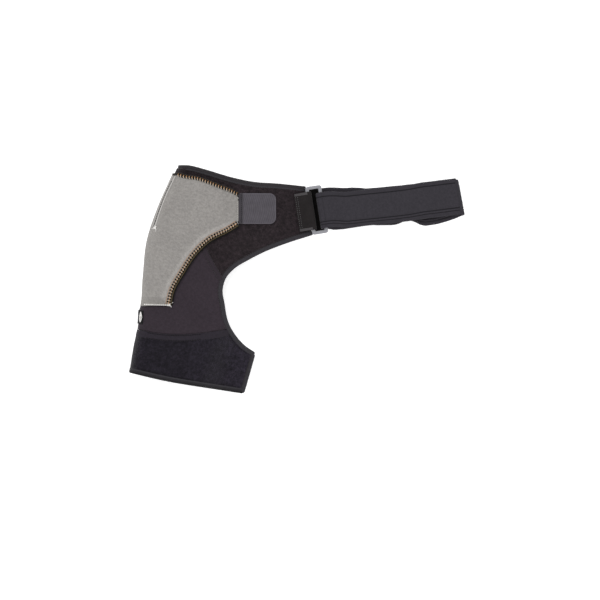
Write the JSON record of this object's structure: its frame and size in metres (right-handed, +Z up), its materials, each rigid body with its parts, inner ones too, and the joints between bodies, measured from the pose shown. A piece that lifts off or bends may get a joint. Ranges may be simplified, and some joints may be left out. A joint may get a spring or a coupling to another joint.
{
  "type": "cold compression wrap",
  "caption": "Shoulder cold compression wrap of neoprene with a cold pack pocket, hook tab, arm cuff closure and an adjustable strap through a ring.",
  "frame": {"origin": "centre of the bounding box's underside, on the table", "axes": "+Z up off the table, +X from the outer side of the arm to the strap's end, +Y from the cuff to the collar"},
  "size_m": [0.4347, 0.295, 0.0408],
  "materials": {
    "smooth_neoprene": "matt",
    "loop_neoprene": "fuzzy loop",
    "grey_jersey": "matt knit",
    "edge_binding": "matt",
    "panel_edging": "matt",
    "hook_tape": "satin hooks",
    "gel_film": "satin film",
    "webbing": "matt weave",
    "ring_plastic": "satin",
    "strap_elastic": "matt knit",
    "label_cloth": "matt weave"
  },
  "bodies": {
    "wrap": {"sleeve_panel": "smooth_neoprene", "front_chest_panel": "loop_neoprene", "back_chest_panel": "loop_neoprene", "cuff_band": "loop_neoprene", "collar_binding": "edge_binding", "armhole_binding_front": "edge_binding", "armhole_binding_back": "edge_binding", "cuff_hem_binding": "edge_binding", "compression_panel_shell": "grey_jersey", "webbing_anchor": "webbing", "side_label": "label_cloth"},
    "panel_flap": {"compression_panel_flap": "grey_jersey", "panel_lower_edging": "panel_edging", "panel_top_edging": "panel_edging"},
    "tab": {"hook_tab": "hook_tape"},
    "cold_pack": {"gel_pouch": "gel_film", "gel_pouch_rim": "gel_film"},
    "cuff_closure": {"cuff_closure_flap": "loop_neoprene", "cuff_hook_strip": "hook_tape", "closure_upper_binding": "edge_binding", "closure_hem_binding": "edge_binding", "closure_end_binding": "edge_binding"},
    "strap": {"ring_buckle": "ring_plastic", "strap_run": "strap_elastic"},
    "strap_tail_end": {"strap_tail": "strap_elastic", "strap_tail_binding": "edge_binding", "tail_hook_patch": "hook_tape"}
  },
  "joints": [
    {"name": "panel_lift", "type": "hinge", "parent": "wrap", "child": "panel_flap", "pos_m": [-0.1632, -0.0345, 0.0404], "axis": [-0.1012, -0.9949, 0], "range_deg": [0, 75]},
    {"name": "tab_peel", "type": "hinge", "parent": "panel_flap", "child": "tab", "pos_m": [-0.0736, 0.071, 0.02866], "axis": [0, -1, 0], "range_deg": [0, 90]},
    {"name": "gel_slide", "type": "slide", "parent": "wrap", "child": "cold_pack", "axis": [0.22, 0.9755, 0], "range_m": [0, 0.12]},
    {"name": "cuff_peel", "type": "hinge", "parent": "wrap", "child": "cuff_closure", "pos_m": [-0.08597, -0.08953, 0.018], "axis": [-0.2809, -0.9597, 0], "range_deg": [0, 90]},
    {"name": "strap_swing", "type": "hinge", "parent": "wrap", "child": "strap", "pos_m": [0.0181, 0.0878, 0.0119], "axis": [0.155, -0.9879, 0], "range_deg": [0, 40]},
    {"name": "tail_peel", "type": "hinge", "parent": "strap", "child": "strap_tail_end", "pos_m": [0.03607, 0.08887, 0.017], "axis": [0.155, -0.9879, 0], "range_deg": [0, 80]}
  ]
}
